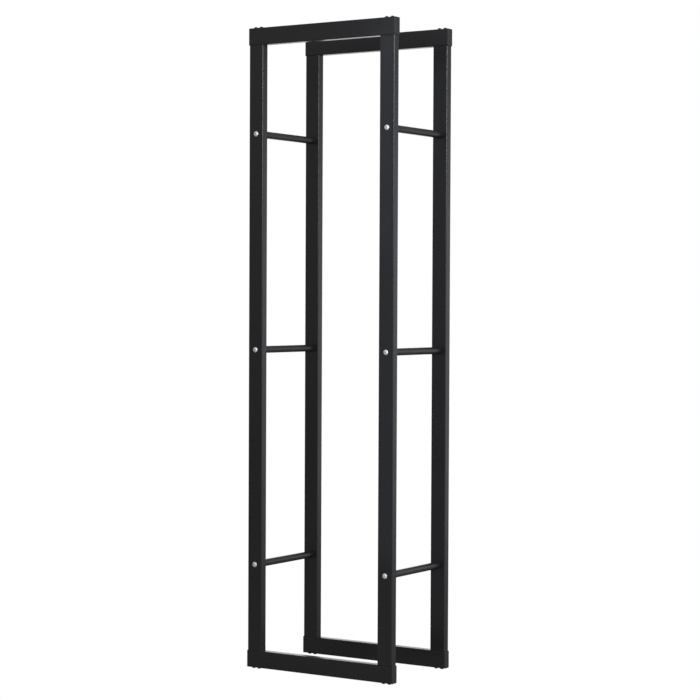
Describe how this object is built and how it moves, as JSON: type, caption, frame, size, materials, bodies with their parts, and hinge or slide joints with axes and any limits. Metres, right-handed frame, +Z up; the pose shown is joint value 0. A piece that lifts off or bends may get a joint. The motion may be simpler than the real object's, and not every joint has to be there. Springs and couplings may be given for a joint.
{
  "type": "firewood log rack",
  "caption": "Tall free-standing firewood rack: upright rectangular tube frames in front and behind, joined by round cross rods, open on every side so logs stack in the bay.",
  "frame": {"origin": "on the floor, under the middle of the rack", "axes": "+X to the right seen from the front, +Y to the back, +Z up"},
  "size_m": [0.4, 0.261, 1.5],
  "materials": {
    "powder_black": "black powder coat on steel tube, satin with a fine texture",
    "rod_powder_black": "black powder coat on round steel tube, satin",
    "cap_plastic": "black moulded plastic, semi-matte",
    "plug_plastic": "black moulded plastic, semi-matte",
    "screw_zinc": "bright zinc plate on steel",
    "insert_steel": "plain machined steel"
  },
  "bodies": {
    "root": {"post_front_left": "powder_black", "post_front_right": "powder_black", "post_back_left": "powder_black", "post_back_right": "powder_black", "rail_front_bottom": "powder_black", "rail_front_top": "powder_black", "rail_back_bottom": "powder_black", "rail_back_top": "powder_black", "end_cap_front_bottom_left": "cap_plastic", "end_cap_front_bottom_right": "cap_plastic", "end_cap_front_top_left": "cap_plastic", "end_cap_front_top_right": "cap_plastic", "end_cap_back_bottom_left": "cap_plastic", "end_cap_back_bottom_right": "cap_plastic", "end_cap_back_top_left": "cap_plastic", "end_cap_back_top_right": "cap_plastic", "rod_left_lower": "rod_powder_black", "rod_left_middle": "rod_powder_black", "rod_left_upper": "rod_powder_black", "rod_right_lower": "rod_powder_black", "rod_right_middle": "rod_powder_black", "rod_right_upper": "rod_powder_black", "rod_inserts_left_lower": "insert_steel", "rod_inserts_left_middle": "insert_steel", "rod_inserts_left_upper": "insert_steel", "rod_inserts_right_lower": "insert_steel", "rod_inserts_right_middle": "insert_steel", "rod_inserts_right_upper": "insert_steel", "rod_screws_front_left": "screw_zinc", "rod_screws_front_right": "screw_zinc", "rod_screws_back_left": "screw_zinc", "rod_screws_back_right": "screw_zinc", "rail_screws_front_bottom": "screw_zinc", "rail_screws_front_top": "screw_zinc", "rail_screws_back_bottom": "screw_zinc", "rail_screws_back_top": "screw_zinc", "nut_blocks_front_left": "insert_steel", "nut_blocks_front_right": "insert_steel", "nut_blocks_back_left": "insert_steel", "nut_blocks_back_right": "insert_steel", "hole_plugs_front_top": "plug_plastic", "hole_plugs_back_top": "plug_plastic", "plug_feet_front_bottom": "plug_plastic", "plug_feet_back_bottom": "plug_plastic"}
  },
  "joints": []
}
